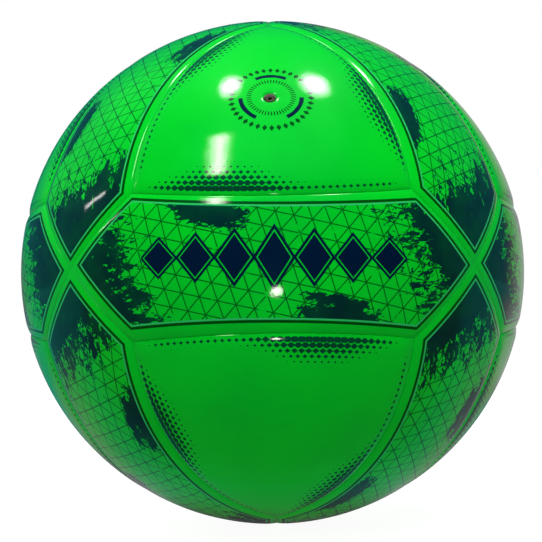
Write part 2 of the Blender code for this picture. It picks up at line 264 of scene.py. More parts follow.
def long_net(inset, steps):
    """The long panel as rows of points from seam to seam, between its right tip and its left one."""
    rim = long_rim(inset, steps)
    half, across = len(rim) // 2, steps.across
    rows = [[rim[-i].slerp(rim[i], j / across) for j in range(across + 1)] for i in range(1, half)]
    points = [rim[0]] + [point for row in rows for point in row] + [rim[half]]
    width, tip = across + 1, len(points) - 1

    def at(row, column):
        return 1 + row * width + column

    faces = [(0, at(0, j + 1), at(0, j)) for j in range(across)]
    for i in range(len(rows) - 1):
        faces += [(at(i, j), at(i, j + 1), at(i + 1, j + 1), at(i + 1, j)) for j in range(across)]
    last = len(rows) - 1
    faces += [(at(last, j), at(last, j + 1), tip) for j in range(across)]
    upper = [at(i, across) for i in range(len(rows))]
    lower = [at(i, 0) for i in reversed(range(len(rows)))]
    return Net(points, faces, [[0, *upper, tip, *lower]])


def triangle_net(inset, steps):
    """The triangle as rows of points that grow from its first corner to the side across from it."""
    n = steps.long
    arcs = arcs_of(TRIANGLE_SIDES, VALVE_AXIS, inset)
    points = [inside_triangle(arcs, n - i, i - j, j) for i in range(n + 1) for j in range(i + 1)]

    def at(row, column):
        return row * (row + 1) // 2 + column

    faces = [(at(i, j), at(i + 1, j), at(i + 1, j + 1)) for i in range(n) for j in range(i + 1)]
    faces += [(at(i, j), at(i + 1, j + 1), at(i, j + 1)) for i in range(n) for j in range(i)]
    rim = [at(i, 0) for i in range(n)] + [at(n, j) for j in range(n)] + [at(i, i) for i in range(n, 0, -1)]
    return Net(points, faces, [rim])


def inside_triangle(arcs, a, b, c):
    """The point with these weights for the three corners. Each weight's corner is joined to the arc across
    from it, and the three joins are blended so that the net's outer points lie on the arcs."""
    weights = (a, b, c)
    if weights.count(0) == 2:
        return arcs[weights.index(max(weights))](0)
    if 0 in weights:
        k = weights.index(0)
        start, end = weights[(k + 1) % 3], weights[(k + 2) % 3]
        return arcs[(k + 1) % 3](end / (start + end))
    total = sum(weights)
    joined = Vector()
    for k, (own, after, before) in enumerate(((a, b, c), (b, c, a), (c, a, b))):
        share = own / total
        across = arcs[(k + 1) % 3](before / (after + before))
        joined += (arcs[k](0) * share + across * (1 - share)) * (after * before)
    return joined.normalized()


def holed_net(hole, near):
    """A function that makes the triangle's net with a round hole in its middle: rows run in from the outline
    to the widths near the hole's edge, and its second outline is the hole's."""
    def net_of(inset, steps):
        rim = triangle_rim(inset, steps)
        n, points = len(rim), []
        for point in rim:
            whole = VALVE_AXIS.angle(point)
            first = (hole + near[-1]) / BALL_R
            angles = [whole + (first - whole) * i / steps.across for i in range(steps.across)]
            angles += [(hole + width) / BALL_R for width in reversed(near)]
            points += [VALVE_AXIS.slerp(point, angle / whole) for angle in angles]
        rows = steps.across + len(near)
        faces = []
        for i in range(n):
            here, after = i * rows, (i + 1) % n * rows
            faces += [(here + j, after + j, after + j + 1, here + j + 1) for j in range(rows - 1)]
        outline = [i * rows for i in range(n)]
        inner = [i * rows + rows - 1 for i in range(n)]
        return Net(points, faces, [outline, inner])
    return net_of


LONG_SIDES, TRIANGLE_SIDES = long_sides(), triangle_sides()


# -------- the two kinds of panel and their places

# sides and rim_of draw the outline, skin_net and pad_net fill it, and eye says that the valve's eye is in it.
Kind = namedtuple("Kind", "sides rim_of skin_net pad_net eye")
LONG = Kind(LONG_SIDES, long_rim, long_net, long_net, False)
TRIANGLE = Kind(TRIANGLE_SIDES, triangle_rim, triangle_net, triangle_net, False)
EYE_WIDTHS = [width * MM for width in (0, 0.03, 0.12, 0.28, 0.5, 0.9, 1.5, 2.4)]  # from the eye's edge out
passage_net = holed_net(COLLAR_R + FIT, (0, 1.5 * MM))
eye_net = holed_net(VALVE_EYE, EYE_WIDTHS)
VALVED = Kind(TRIANGLE_SIDES, triangle_rim, eye_net, passage_net, True)
VALVE_PLACE = "upper_front"


def places():
    """How the front panel and the panel above it turn to each of their places, by name."""
    sides = ("front", "right", "back", "left")
    quarters = [Quaternion(UP, math.pi / 2 * i) for i in range(4)]
    to_upper_right = Quaternion(VALVE_AXIS, 2 * math.pi / 3)
    over = Quaternion((0, 1, 0), math.pi)
    long_turns, triangle_turns = dict(zip(sides, quarters)), {}
    corners = ("front_right", "back_right", "back_left", "front_left")
    for turns, first, above, below in (
        (long_turns, to_upper_right, corners, corners[::-1]),
        (triangle_turns, Quaternion(), sides, ("front", "left", "back", "right")),
    ):
        for upper, lower, quarter in zip(above, below, quarters):
            turns[f"upper_{upper}"] = quarter @ first
            turns[f"lower_{lower}"] = over @ turns[f"upper_{upper}"]
    return long_turns, triangle_turns


LONG_TURNS, TRIANGLE_TURNS = places()


# -------- shapes

def falling(width, roll):
    """1 at a roll's low edge and 0 where it ends."""
    return 1 - min(max(width / roll[0], 0), 1)


def rounded_drop(width, roll):
    """How low a face is in a roll that ends upright, like a quarter of an ellipse."""
    return roll[1] * (1 - math.sqrt(1 - falling(width, roll) ** 2))


def seam_drop(direction, sides):
    """How far a skin's face lies below the ball's sphere near its seams."""
    widths = [(side.axis.angle(direction) - side.angle) * BALL_R for side in sides]
    width = -CORNER_ROUND * math.log(sum(math.exp(-w / CORNER_ROUND) for w in widths))
    eased = sum(roll[1] * falling(width, roll) ** 2 for roll in (SHOULDER, PILLOW))
    crossing = min(direction.angle(tip) for tip in (FRONT_RIGHT, FRONT_LEFT)) * BALL_R
    near = falling(crossing, CROSSING_FLAT)
    depth = 1 - CROSSING_FLAT[1] * near ** 2 * (3 - 2 * near)
    return (rounded_drop(width, LIP_ROLL) + eased) * depth


def face_radius(kind, turn):
    """The skin's outer face as a radius for each direction."""
    length, height = RIPPLE

    def radius_of(direction):
        drop = seam_drop(direction, kind.sides)
        if kind.eye:
            width = VALVE_AXIS.angle(direction) * BALL_R - VALVE_EYE
            drop += rounded_drop(width, EYE_ROLL) + EYE_DISH[1] * falling(width, EYE_DISH) ** 2
        unevenness = noise.noise(turn @ direction * (BALL_R / length)) - 1
        return BALL_R - drop + unevenness * height
    return radius_of


def at_radius(radius):
    """The same radius for every direction."""
    return lambda direction: radius


class Loft:
    """A closed panel piece in the making. The mesh is turned to the panel's place, and each vertex keeps its
    direction in the panel's first place, turned as the print sits on it."""

    def __init__(self, turn, print_turn=Quaternion()):
        self.bm = bmesh.new()
        self.print_place = self.bm.verts.layers.float_vector.new("print_place")
        self.turn, self.print_turn = turn, print_turn
        self.material = 0

    def points(self, directions, radius_of):
        made = []
        for direction in directions:
            vert = self.bm.verts.new((self.turn @ direction) * radius_of(direction))
            vert[self.print_place] = self.print_turn @ direction
            made.append(vert)
        return made

    def face(self, verts):
        self.bm.faces.new(verts).material_index = self.material

    def net(self, net, radius_of, inwards=False):
        """Adds a net and returns the vertices of its outlines."""
        verts = self.points(net.points, radius_of)
        for corners in net.faces:
            self.face([verts[i] for i in (reversed(corners) if inwards else corners)])
        return [[verts[i] for i in rim] for rim in net.rims]

    def band(self, upper, lower):
        """Joins two outlines of as many vertices, the second one outside or below the first."""
        for i in range(len(upper)):
            self.face((upper[i - 1], lower[i - 1], lower[i], upper[i]))


def finished(bm, name):
    """The mesh made of bm, shaded smooth but for its sharp corners."""
    mesh = bpy.data.meshes.new(name)
    bm.to_mesh(mesh)
    bm.free()
    mesh.shade_smooth()
    mesh.set_sharp_from_angle(angle=SHARP_ANGLE)
    return mesh


def skin_mesh(name, kind, turn, print_turn):
    """A skin: its printed face with the rolled edge, and behind it the skirt and the bare backing."""
    loft = Loft(turn, print_turn)
    radius_of = face_radius(kind, turn)
    lip_insets = [LIP_ROLL[0] * (1 - math.cos(math.radians(angle))) + SEAM_GAP for angle in LIP_ANGLES]
    *insets, crown = [*lip_insets, *SHOULDER_INSETS]
    outline, *hole = loft.net(kind.skin_net(crown, FINE), radius_of)
    for inset in reversed(insets):
        ring = loft.points(kind.rim_of(inset, FINE), radius_of)
        loft.band(outline, ring)
        outline = ring
    edge = FIT / 2 + SKIRT
    for inset in (SEAM_GAP, edge):
        ring = loft.points(kind.rim_of(inset, FINE), at_radius(PAD_IN))
        loft.band(outline, ring)
        outline, loft.material = ring, 1
    backing = kind.skin_net(edge, FINE._replace(across=PLAIN.across))
    inner, *inner_hole = loft.net(backing, at_radius(SKIN_IN), inwards=True)
    loft.band(outline, inner)
    for upper, lower in zip(hole, inner_hole):
        loft.band(lower, upper)
    return finished(loft.bm, name)


def pad_mesh(name, kind, turn):
    """The foam pad that fills the skin's tray."""
    loft = Loft(turn)
    net = kind.pad_net(FIT / 2 + SKIRT + FIT, PLAIN)
    upper, *hole = loft.net(net, at_radius(PAD_OUT))
    lower, *lower_hole = loft.net(net, at_radius(PAD_IN), inwards=True)
    loft.band(upper, lower)
    for top, bottom in zip(hole, lower_hole):
        loft.band(bottom, top)
    return finished(loft.bm, name)


def sphere_mesh(name, outer, inner):
    """A hollow sphere on the panels' own nets, with the valve's passage through it."""
    loft = Loft(Quaternion())
    holes = []
    for place, turn in [*LONG_TURNS.items(), *TRIANGLE_TURNS.items()]:
        net_of = long_net if place in LONG_TURNS else triangle_net
        net = passage_net(0, PLAIN) if place == VALVE_PLACE else net_of(0, PLAIN)
        loft.turn = turn
        for radius, inwards in ((outer, False), (inner, True)):
            _, *hole = loft.net(net, at_radius(radius), inwards)
            holes += hole
    loft.band(holes[1], holes[0])
    bmesh.ops.remove_doubles(loft.bm, verts=loft.bm.verts, dist=0.1 * FIT)
    return finished(loft.bm, name)


def softened(profile, radius):
    """A turned profile with its corners rounded, except those on the axis."""
    made = []
    for i, (r, h) in enumerate(profile):
        if r == 0:
            made.append((r, h))
            continue
        corner = Vector((r, h))
        before = Vector(profile[i - 1]) - corner
        after = Vector(profile[(i + 1) % len(profile)]) - corner
        cut = min(radius, before.length / 2.2, after.length / 2.2)  # a little less than half of a side
        start, end = corner + before.normalized() * cut, corner + after.normalized() * cut
        for share in (0, 0.33, 0.67, 1):
            made.append(tuple(start.lerp(corner, share).lerp(corner.lerp(end, share), share)))
    return made


def turned_mesh(name, profile, steps=64):
    """A closed outline of (radius, height) points, given clockwise, turned about the valve's line."""
    bm = bmesh.new()
    onto_valve = UP.rotation_difference(VALVE_AXIS)
    turns = [onto_valve @ Quaternion(UP, 2 * math.pi * i / steps) for i in range(steps)]
    rings = []
    for radius, height in profile:
        point = Vector((radius, 0, height))
        ring = [bm.verts.new(turn @ point) for turn in (turns if radius else turns[:1])]
        rings.append(ring if radius else ring * steps)
    for i, lower in enumerate(rings):
        upper = rings[i - 1]
        for j in range(steps):
            corners = list(dict.fromkeys((upper[j - 1], lower[j - 1], lower[j], upper[j])))
            if len(corners) > 2:
                bm.faces.new(corners)
    return finished(bm, name)


def plug_mesh():
    """The valve's rubber plug, with the needle's channel down its middle."""
    head_low = VALVE_LOW + STEM
    head_top = head_low + HEAD
    ring_top = head_low - BULGE_DEPTH
    ring_low = ring_top - BULGE
    swell = BULGE_R - STEM_R
    seal_top = VALVE_LOW + NEEDLE_SEAL
    profile = softened([
        (NOSE_R - NOSE_ROUND, VALVE_TOP), (NOSE_R, VALVE_TOP - 1.4 * NOSE_ROUND),
        (NOSE_R, head_top), (HEAD_R, head_top), (HEAD_R, head_low), (STEM_R, head_low),
        (STEM_R, ring_top), (BULGE_R, ring_top - swell), (BULGE_R, ring_low + swell), (STEM_R, ring_low),
        (STEM_R, VALVE_LOW), (0, VALVE_LOW), (0, seal_top), (CHANNEL_R, seal_top + NEEDLE_R),
        (CHANNEL_R, VALVE_TOP - 0.3 * NEEDLE_R), (MOUTH_R, VALVE_TOP),
    ], PLUG_SOFTENING)
    return turned_mesh("valve_plug_fine", profile)


def housing_mesh():
    """The valve's housing, with a dished flange that follows the bladder."""
    head_low = VALVE_LOW + STEM
    seat = head_low - FIT
    bore = STEM_R + FIT
    ring_top = head_low - BULGE_DEPTH + FIT
    ring_low = head_low - BULGE_DEPTH - BULGE - FIT
    swell = BULGE_R - STEM_R
    floor_top = VALVE_LOW - FIT
    tube_r = BULGE_R + FIT + HOUSING_WALL
    dish_out = BLADDER_IN - 2 * FIT
    dish_in = dish_out - FLANGE
    arc = [COLLAR_R + (FLANGE_R - COLLAR_R) * i / FLANGE_STEPS for i in range(FLANGE_STEPS + 1)]
    profile = softened([
        (COLLAR_R, seat),
        *[(r, math.sqrt(dish_out ** 2 - r ** 2)) for r in arc],
        *[(r, math.sqrt(dish_in ** 2 - r ** 2)) for r in reversed(arc)],
        (tube_r, math.sqrt(dish_in ** 2 - COLLAR_R ** 2) - HOUSING_WALL / 2),
        (tube_r, floor_top - HOUSING_WALL),
        (AIR_HOLE_R, floor_top - HOUSING_WALL), (AIR_HOLE_R, floor_top), (bore, floor_top),
        (bore, ring_low), (bore + swell, ring_low + swell), (bore + swell, ring_top - swell),
        (bore, ring_top), (bore, seat),
    ], HOUSING_SOFTENING)
    return turned_mesh("valve_housing_fine", profile)


# -------- nodes written as formulas

def add(tree, kind, inputs=None, **settings):
    """Adds a shader node with its settings and inputs, and returns it."""
    node = tree.nodes.new(f"ShaderNode{kind}")
    for name, value in settings.items():
        setattr(node, name, value)
    for name, value in (inputs or {}).items():
        if isinstance(value, Term):
            tree.links.new(value.socket, node.inputs[name])
        else:
            node.inputs[name].default_value = value
    return node


class Term:
    """A value in a material's nodes. Sums and products of terms add the Math nodes that work them out."""

    def __init__(self, socket):
        self.socket = socket

    @property
    def tree(self):
        return self.socket.id_data

    __add__ = __radd__ = lambda self, other: maths("ADD", self, other)
    __mul__ = __rmul__ = lambda self, other: maths("MULTIPLY", self, other)
    __sub__ = lambda self, other: maths("SUBTRACT", self, other)
    __rsub__ = lambda self, other: maths("SUBTRACT", other, self)
    __truediv__ = lambda self, other: maths("DIVIDE", self, other)


def maths(operation, *values):
    """A Math node's result for terms and numbers."""
    tree = next(value.tree for value in values if isinstance(value, Term))
    return Term(add(tree, "Math", dict(enumerate(values)), operation=operation).outputs[0])


def largest(first, *others):
    """The largest of several terms."""
    for other in others:
        first = maths("MAXIMUM", first, other)
    return first


def size_of(value):
    """The value without its sign."""
    return maths("ABSOLUTE", value)


def dot(place, axis):
    node = add(place.tree, "VectorMath", {0: place, 1: axis}, operation="DOT_PRODUCT")
    return Term(node.outputs["Value"])


def parts(place):
    """A vector's three components."""
    node = add(place.tree, "SeparateXYZ", {0: place})
    return [Term(node.outputs[name]) for name in "XYZ"]


def vector(x, y, z=0.0):
    tree = next(value.tree for value in (x, y, z) if isinstance(value, Term))
    return Term(add(tree, "CombineXYZ", {"X": x, "Y": y, "Z": z}).outputs[0])


def ramp(value, low, high):
    """Eases from 0 where the value is low to 1 where it is high; low may be the larger of the two."""
    ends = {"Value": value, "From Min": min(low, high), "From Max": max(low, high)}
    if low > high:
        ends |= {"To Min": 1.0, "To Max": 0.0}
    return Term(add(value.tree, "MapRange", ends, interpolation_type="SMOOTHSTEP").outputs[0])


def over_zero(value, blur):
    """1 where the value is positive, with an edge as wide as blur."""
    return ramp(value, -blur / 2, blur / 2)


def line(value, middle, width, blur=EDGE_BLUR):
    """1 on a line of this width where the value is middle."""
    return over_zero(width / 2 - size_of(value - middle), blur)


def to_nearest(value, pitch):
    """The distance to the nearest multiple of the pitch."""
    return maths("PINGPONG", value, pitch / 2)


def noise_of(place, size, detail=2.0):
    """Smooth noise between 0 and 1 whose features are about this size, in the place's own units."""
    node = add(place.tree, "TexNoise", {"Vector": place, "Scale": 1 / size, "Detail": detail})
    return Term(node.outputs[0])


def cells_of(place, size, output):
    """A pattern of cells of about this size: the Distance to a cell's middle, or a random Color for each."""
    return Term(add(place.tree, "TexVoronoi", {"Vector": place, "Scale": 1 / size}).outputs[output])


def shards(place, size):
    """A random number for each cell of a broken-glass pattern with cells of this size."""
    return parts(cells_of(place, size, "Color"))[0]


def inked(under, colour, mask):
    """The colour laid over what is under it where the mask is 1."""
    return Term(add(mask.tree, "Mix", {0: mask, 6: under, 7: colour}, data_type="RGBA").outputs[2])


def srgb(*channels):
    """A colour of 0 to 255 a channel as the shaders take it."""
    linear = [c / 255 / 12.92 if c <= 10 else ((c / 255 + 0.055) / 1.055) ** 2.4 for c in channels]
    return (*linear, 1.0)


def where(tree):
    """The place on the ball, in metres."""
    return Term(add(tree, "TexCoord").outputs["Object"])


# -------- the print

GREEN = srgb(0, 205, 34)
UNEVEN_GREEN = srgb(0, 190, 38)
PALE_GREEN = srgb(50, 182, 112)
PIN_GREEN = srgb(0, 72, 10)
GRID_GREEN = srgb(0, 96, 20)
DARK_TEAL = srgb(0, 66, 40)
DEEP_TEAL = srgb(0, 42, 42)
NAVY = srgb(0, 22, 52)


def print_place(tree):
    """The place's direction in the panel's first place."""
    return Term(add(tree, "Attribute", attribute_name="print_place").outputs["Vector"])


def from_seam(place, side):
    """The width on the ball's surface from a place to a seam, in millimetres."""
    return (maths("ARCCOSINE", dot(place, side.axis)) - side.angle) * R_MM


def clouded(colour, other, size, detail, low, high):
    """Works out a colour that another one clouds, where noise of this size goes from low to high."""
    return lambda tree: inked(colour, other, ramp(noise_of(where(tree), size, detail), low, high))


plain_print = clouded(GREEN, UNEVEN_GREEN, 30 * MM, 3.0, 0.3, 0.8)


def grid_lines(along, across):
    """1 on the lines of the three-way grid, worn away here and there."""
    grid = [
        line(to_nearest(along * math.sin(angle) + across * math.cos(angle), GRID_PITCH), 0, GRID_LINE)
        for angle in GRID_ANGLES
    ]
    return largest(*grid) * ramp(noise_of(vector(along, across), WEAR_SIZE, 3.0), *WEAR)


def dark_reach(along, across, front):
    """How far the dark has grown at a place, from 0 where there is none to 1 where it is whole."""
    leant = size_of(along + across * ENDS_LEAN)
    ends = ramp(leant, *(FRONT_ENDS if front else ENDS))
    patches = []
    for side in (1, -1):
        dx = (along + PATCH_AT[0] * side) / PATCH_SIZE[0]
        dy = (across - PATCH_AT[1] * side) / PATCH_SIZE[1] + dx * PATCH_LEAN
        patches.append(ramp(dx * dx + dy * dy, 1.0, 0.0))
    return largest(ends, largest(*patches) * PATCH_SHARE)


def broken_edge(along, across):
    """How far the dark has to grow to show at a place: torn into slanted strokes, shards and specks."""
    (run, slide), (rise, sink) = STROKES
    slanted = vector(along * run + across * slide, across * rise - along * sink)
    broken = ramp(noise_of(slanted, TEAR_SIZE), 0.3, 0.7) * TEAR_SHARE
    for size, share in SHARDS:
        broken = broken + shards(slanted, size) * share
    return broken


def lozenge_row(along, across):
    """How deep in the front panel's lozenges a place lies: 0 on their edges and 1 in their middles."""
    half_height = LOZENGE_HALF_HEIGHT - size_of(maths("ROUND", along / LOZENGE_PITCH)) * LOZENGE_SHRINK
    sideways = to_nearest(along, LOZENGE_PITCH) / LOZENGE_HALF_WIDTH
    level = 1 - sideways - size_of(across - LOZENGE_LIFT) / half_height
    return level - over_zero(size_of(along) - LOZENGES_END, 0.05) * 2


def long_print(tree, front):
    """The long panels' print: a pin line and a pale line round it, a three-way grid, and dark ends that break
    up into shards towards the middle. The front panel also has a row of lozenges."""
    place = print_place(tree)
    x, y, z = parts(place)
    corner = vector(size_of(x), y, size_of(z))
    short, long, *_ = LONG_SIDES
    seam = maths("MINIMUM", from_seam(corner, short) + SHORT_NEARER, from_seam(corner, long))
    along = maths("ARCTAN2", x, -1 * y) * R_MM
    across = maths("ARCSINE", z) * R_MM

    field = over_zero(seam - FIELD_INSET, EDGE_BLUR)
    colour = inked(plain_print(tree), GRID_GREEN, grid_lines(along, across) * field)
    clouds = noise_of(vector(along, across), TONE_SIZE)
    tone = inked(DARK_TEAL, DEEP_TEAL, ramp(clouds, 0.35, 0.65))
    dark = over_zero(dark_reach(along, across, front) - broken_edge(along, across), SHARD_BLUR)
    colour = inked(colour, tone, dark * field)
    if front:
        level = lozenge_row(along, across)
        colour = inked(colour, NAVY, over_zero(level, 0.02))
        colour = inked(colour, GREEN, line(level, LOZENGE_LINE, LOZENGE_LINE_WIDTH, 0.02))
    colour = inked(colour, PIN_GREEN, line(seam, PIN_INSET, PIN_WIDTH))
    return inked(colour, PALE_GREEN, line(seam, PALE_INSET, PALE_WIDTH))


def lozenge_strip(place, side):
    """1 on the lozenges along one side of a triangle, which shrink away from the seam."""
    middle = (VALVE_AXIS - side.axis * VALVE_AXIS.dot(side.axis)).normalized()
    round_side = maths("ARCTAN2", dot(place, side.axis.cross(middle)), dot(place, middle))
    along = round_side * (math.sin(side.angle) * R_MM)
    away = from_seam(place, side) - STRIP_INSET
    row = maths("FLOOR", away / ROW)
    row_middle = (row + 0.5) * ROW
    swell = ramp(size_of(along - SWELL_AT), *SWELL_REACH)
    height = (STRIP_HEIGHT + swell * STRIP_SWELL) * ramp(size_of(along), *STRIP_ENDS)
    size = (1 - row_middle / height) * (STRIP_LOZENGE + swell * STRIP_LOZENGE)
    across = size_of(away - row_middle) * (2 / ROW)
    shift = maths("PINGPONG", row, 1.0) * (PITCH / 2)  # every other row lies half a place on
    beside = to_nearest(along + shift, PITCH) * (2 / PITCH)
    lozenges = over_zero(size - across - beside, STRIP_BLUR)
    return lozenges * over_zero(height - 1.0, STRIP_BLUR) * over_zero(away, STRIP_BLUR)


def valve_rings(place):
    """1 on the arcs round the valve, and 1 on the ticks and the diamonds."""
    out = maths("ARCCOSINE", dot(place, VALVE_AXIS)) * R_MM
    turn = maths("ARCTAN2", dot(place, RIGHT), dot(place, VALVE_AXIS.cross(RIGHT)))

    def to_mark(ring):
        """The distance round the ring to its nearest mark, as a share of the pitch."""
        return to_nearest(turn * (ring.count / (2 * math.pi)), 1.0)

    ticks = line(to_mark(TICKS), 0, TICKS.width, 0.05) * line(out, TICKS.radius, TICKS.height)
    arcs = over_zero(ARCS.width / 2 - to_nearest(turn, 2 * math.pi / ARCS.count), 0.01)
    arcs = arcs * line(out, ARCS.radius, ARCS.height)
    beside = to_mark(DIAMONDS) * (2 * math.pi * DIAMONDS.radius / DIAMONDS.count)
    level = 1 - beside / DIAMONDS.width - size_of(out - DIAMONDS.radius) / DIAMONDS.height
    return arcs, largest(ticks, over_zero(level, 0.1))


def triangle_print(tree, valve):
    """The triangles' print: along each side a strip of lozenges, and rings of marks round the valve."""
    place = print_place(tree)
    strips = [lozenge_strip(place, side) for side in TRIANGLE_SIDES]
    colour = inked(plain_print(tree), DARK_TEAL, largest(*strips))
    if valve:
        arcs, marks = valve_rings(place)
        colour = inked(colour, NAVY, arcs)
        colour = inked(colour, PIN_GREEN, marks)
    return colour


# -------- materials

def principled(name, make_colour, roughness, grain, **constants):
    """A material. Three functions work out its colour, its roughness, and its bump as a height and how many
    metres that stands for. The constants are named by their sockets."""
    made = bpy.data.materials.new(name)
    made.use_nodes = True
    tree = made.node_tree
    shader = tree.nodes["Principled BSDF"]
    height, distance = grain(tree)
    bump = add(tree, "Bump", {"Height": height, "Distance": distance})
    tree.links.new(make_colour(tree).socket, shader.inputs["Base Color"])
    tree.links.new(roughness(tree).socket, shader.inputs["Roughness"])
    for socket in ("Normal", "Coat Normal") if "Coat_Weight" in constants else ("Normal",):
        tree.links.new(bump.outputs["Normal"], shader.inputs[socket])
    for socket, value in constants.items():
        shader.inputs[socket.replace("_", " ")].default_value = value
    return made


def varied(low, spread, size, detail=2.0):
    """A roughness that varies a little from place to place."""
    return lambda tree: low + noise_of(where(tree), size, detail) * spread


def grained(size, detail, depth):
    """A bump of noise of this size."""
    return lambda tree: (noise_of(where(tree), size, detail), depth)


def film(name, make_colour):
    """Printed PU skin under a clear gloss film, with a faint orange-peel."""
    def peel(tree):
        fine, wide = noise_of(where(tree), 1.6 * MM), noise_of(where(tree), 6 * MM, 1.0)
        return fine + wide * 3, 0.012 * MM
    return principled(
        name, make_colour, varied(0.30, 0.08, 12 * MM, 3.0), peel,
        Coat_Weight=1.0, Coat_Roughness=0.045, Coat_IOR=1.5, IOR=1.45,
        Specular_IOR_Level=0.1, Specular_Tint=(0.0, 1.0, 0.9, 1.0),
    )


def backing_cloth():
    """The skin's back: cream non-woven cloth with short fibres."""
    colour = clouded(srgb(226, 224, 214), srgb(190, 187, 174), 0.5 * MM, 4.0, 0.45, 0.75)
    return principled("skin_backing", colour, varied(0.85, 0.1, 3 * MM), grained(0.4 * MM, 4.0, 0.15 * MM))


def pad_foam():
    """Fine-celled foam, with smaller cells between its larger ones. It is painted darker in the larger cells'
    pores, where the bump dips: painted shade.
    """
    def cells(tree, size):
        return cells_of(where(tree), size, "Distance")

    def colour(tree):
        # Painted shade: darker in the pores of the larger cells.
        return inked(srgb(240, 238, 228), srgb(198, 194, 180), ramp(cells(tree, 0.7 * MM), 0.45, 0.15))

    def pores(tree):
        return cells(tree, 0.7 * MM) + cells(tree, 0.3 * MM), 0.2 * MM
    return principled("pad_foam", colour, varied(0.9, 0.08, 2 * MM), pores)


THREAD_PITCH = 1.1 * MM
THREAD_WAYS = ((1, 0.3, 0.2), (-0.4, 1, 0.5), (0.3, -0.6, 1), (0.8, 0.7, -0.6))


def wound_lining():
    """Polyester thread wound round the bladder in many directions and set in latex."""
    def threads(tree):
        """1 along the threads' middles and 0 between them."""
        ways = [dot(where(tree), Vector(way).normalized()) for way in THREAD_WAYS]
        return largest(*[1 - to_nearest(way, THREAD_PITCH) * (2 / THREAD_PITCH) for way in ways])

    def colour(tree):
        return inked(srgb(176, 172, 158), srgb(232, 230, 220), ramp(threads(tree), 0.55, 0.95))
    return principled(
        "wound_lining", colour, varied(0.7, 0.2, 10 * MM), lambda tree: (threads(tree), 0.25 * MM)
    )


def rubber(name, colour, bloom, size):
    """Rubber with a dull bloom in clouds of this size and a fine grain."""
    bloomed = clouded(colour, bloom, size, 4.0, 0.45, 0.8)
    return principled(name, bloomed, varied(0.5, 0.25, size), grained(0.5 * MM, 3.0, 0.04 * MM))


# -------- pieces

def new_object(name, data):
    """An object with this data, in the scene."""
    made = bpy.data.objects.new(name, data)
    bpy.context.scene.collection.objects.link(made)
    return made


def piece(name, mesh, replaced, slot, *materials):
    """A visible piece with its materials, its body and the CAD node it replaces, which it hides.
    The slot is not used.
    """
    for material in materials:
        mesh.materials.append(material)
    made = new_object(name, mesh)
    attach(made, "root")
    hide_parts(replaced)
    return made


def print_turns():
    """How the print sits on each panel: never quite true, and end for end on every other long one."""
    chance = random.Random(62)
    turns = {}
    for kind, middle, names in (("long", FRONT, LONG_TURNS), ("triangle", VALVE_AXIS, TRIANGLE_TURNS)):
        for i, name in enumerate(names):
            lean = Vector([chance.uniform(-1, 1) for _ in range(3)]) * PRINT_STRAY
            half = Quaternion(middle, math.pi) if kind == "long" and i % 2 else Quaternion()
            turns[kind, name] = Quaternion(lean.normalized(), lean.length) @ half
    turns["long", "front"] = Quaternion(FRONT_PRINT.normalized(), math.radians(FRONT_PRINT.length))
    return turns


def make_ball():
    """Every piece of the ball, from the skins in to the valve."""
    long_film = film("long_print", lambda tree: long_print(tree, False))
    front_film = film("front_print", lambda tree: long_print(tree, True))
    triangle_film = film("triangle_print", lambda tree: triangle_print(tree, False))
    valve_film = film("valve_print", lambda tree: triangle_print(tree, True))
    backing, foam = backing_cloth(), pad_foam()
    print_turn = print_turns()
    for word, turns in (("long", LONG_TURNS), ("triangle", TRIANGLE_TURNS)):
        for place, turn in turns.items():
            if word == "long":
                kind, printed = LONG, front_film if place == "front" else long_film
            else:
                kind, printed = (VALVED, valve_film) if place == VALVE_PLACE else (TRIANGLE, triangle_film)
            name, node = f"skin_{word}_{place}", f"{word}_panel_{place}"
            skin = skin_mesh(name, kind, turn, print_turn[word, place])
            piece(name, skin, node, "cover", printed, backing)
            pad = piece(f"pad_{word}_{place}", pad_mesh("pad", kind, turn), f"foam_{node}", "foam", foam)
    lining = sphere_mesh("wound_lining", LINING_OUT, LINING_IN)
    bladder = sphere_mesh("butyl_bladder", BLADDER_OUT, BLADDER_IN)
    black = rubber("butyl", srgb(30, 30, 30), srgb(56, 56, 54), 10 * MM)
    brown = rubber("valve_rubber", srgb(64, 58, 44), srgb(110, 102, 82), 1.5 * MM)
    piece("wound_lining", lining, "lining", "lining", wound_lining())
    piece("butyl_bladder", bladder, "bladder", "bladder", black)
    piece("valve_plug_fine", plug_mesh(), "valve_plug", "valve", brown)
    piece("valve_housing_fine", housing_mesh(), "valve_housing", "bladder", black)


# -------- camera, lamps and surroundings

CAMERA_DISTANCE = 5.1 * BALL_R
BALL_TILT, BALL_ROLL = -1.6, -0.9  # how the ball sits turned, in degrees
SENSOR, LENS = 36.0, 83.6
SHIFT = (-0.00295, 0.00258)  # as shares of the picture's width


def make_camera():
    """A long lens level with the ball's middle. It goes round the ball by as much as the ball sits turned."""
    data = bpy.data.cameras.new("camera")
    data.sensor_width, data.lens = SENSOR, LENS
    data.shift_x, data.shift_y = SHIFT
    camera = new_object("camera", data)
    sat = Matrix.Rotation(math.radians(BALL_ROLL), 4, "Y") @ Matrix.Rotation(math.radians(BALL_TILT), 4, "X")
    level = Matrix.Translation((0, -CAMERA_DISTANCE, 0)) @ Matrix.Rotation(math.pi / 2, 4, "X")
    camera.matrix_world = sat.inverted() @ level
    bpy.context.scene.camera = camera


